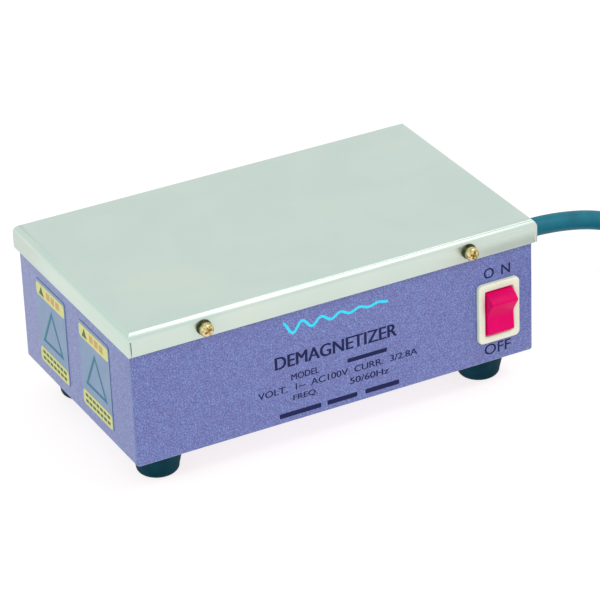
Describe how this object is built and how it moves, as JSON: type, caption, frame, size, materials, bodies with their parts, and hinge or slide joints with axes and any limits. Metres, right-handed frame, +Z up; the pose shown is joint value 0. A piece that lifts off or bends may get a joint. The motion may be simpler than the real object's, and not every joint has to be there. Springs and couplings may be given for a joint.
{
  "type": "demagnetizer",
  "caption": "Bench plate demagnetizer: painted sheet-steel case on rubber feet, folded stainless steel lid as work table, rocker switch at the front and a mains cord at the side.",
  "frame": {"origin": "on the surface that it stands on, below the middle of the lid", "axes": "+X along the long side towards the mains cord, +Y towards the rear, +Z up"},
  "size_m": [0.3858, 0.1903, 0.0818],
  "materials": {
    "stainless_sheet": "satin, rolled, faintly blotched",
    "hammer_paint": "fine hammertone, blue-violet",
    "yellow_zinc": "yellow chromated zinc plate",
    "zinc_steel": "bright zinc plate",
    "foot_rubber": "matt moulded rubber",
    "bezel_plastic": "moulded, satin",
    "rocker_plastic": "moulded, glossy",
    "contact_brass": "stamped",
    "core_steel": "stacked laminations, varnished",
    "bobbin_plastic": "moulded",
    "copper_winding": "enamelled copper wire, taped",
    "block_plastic": "moulded",
    "cord_jacket": "extruded vinyl, satin",
    "plug_plastic": "moulded",
    "label_film": "printed film",
    "lead_insulation": "extruded vinyl"
  },
  "bodies": {
    "base": {"lid": "stainless_sheet", "case": "hammer_paint", "lid_screw_front_left": "yellow_zinc", "lid_screw_front_right": "yellow_zinc", "lid_screw_rear_left": "yellow_zinc", "lid_screw_rear_right": "yellow_zinc", "lid_washer_front_left": "zinc_steel", "lid_washer_front_right": "zinc_steel", "lid_washer_rear_left": "zinc_steel", "lid_washer_rear_right": "zinc_steel", "lid_nut_front_left": "zinc_steel", "lid_nut_front_right": "zinc_steel", "lid_nut_rear_left": "zinc_steel", "lid_nut_rear_right": "zinc_steel", "foot_screw_front_left": "zinc_steel", "foot_screw_front_right": "zinc_steel", "foot_screw_rear_left": "zinc_steel", "foot_screw_rear_right": "zinc_steel", "bracket_screw_front_left": "zinc_steel", "bracket_screw_front_right": "zinc_steel", "bracket_screw_rear_left": "zinc_steel", "bracket_screw_rear_right": "zinc_steel", "core_bracket_front": "zinc_steel", "core_bracket_rear": "zinc_steel", "core_bolt_left": "zinc_steel", "core_bolt_right": "zinc_steel", "core_nut_left": "zinc_steel", "core_nut_right": "zinc_steel", "foot_front_left": "foot_rubber", "foot_front_right": "foot_rubber", "foot_rear_left": "foot_rubber", "foot_rear_right": "foot_rubber", "core_pad": "foot_rubber", "cord_gland": "foot_rubber", "switch_housing": "bezel_plastic", "terminal_common": "contact_brass", "terminal_contact": "contact_brass", "plug_blade_front": "contact_brass", "plug_blade_rear": "contact_brass", "core": "core_steel", "bobbin": "bobbin_plastic", "thermal_cutout": "bobbin_plastic", "coil": "copper_winding", "terminal_block": "block_plastic", "cord_tube": "cord_jacket", "cord_coil": "cord_jacket", "cord_tail": "cord_jacket", "cord_inner_end": "cord_jacket", "plug": "plug_plastic", "coil_tie": "plug_plastic", "label_front": "label_film", "label_rear": "label_film", "lead_supply": "lead_insulation", "lead_switched": "lead_insulation", "lead_coil": "lead_insulation", "lead_return": "lead_insulation"},
    "switch_rocker": {"rocker": "rocker_plastic"},
    "switch_arm": {"contact_arm": "contact_brass"}
  },
  "joints": [
    {"name": "rocker_pivot", "type": "hinge", "parent": "base", "child": "switch_rocker", "pos_m": [0.08005, -0.05675, 0.0412], "axis": [-1, 0, 0], "range_deg": [0, 26]},
    {"name": "contact_arm_pivot", "type": "hinge", "parent": "base", "child": "switch_arm", "pos_m": [0.08005, -0.04675, 0.0412], "axis": [-1, 0, 0], "range_deg": [-13, 0]}
  ],
  "couplings": [
    {"joint": "contact_arm_pivot", "follows": "rocker_pivot", "ratio": -0.5}
  ]
}
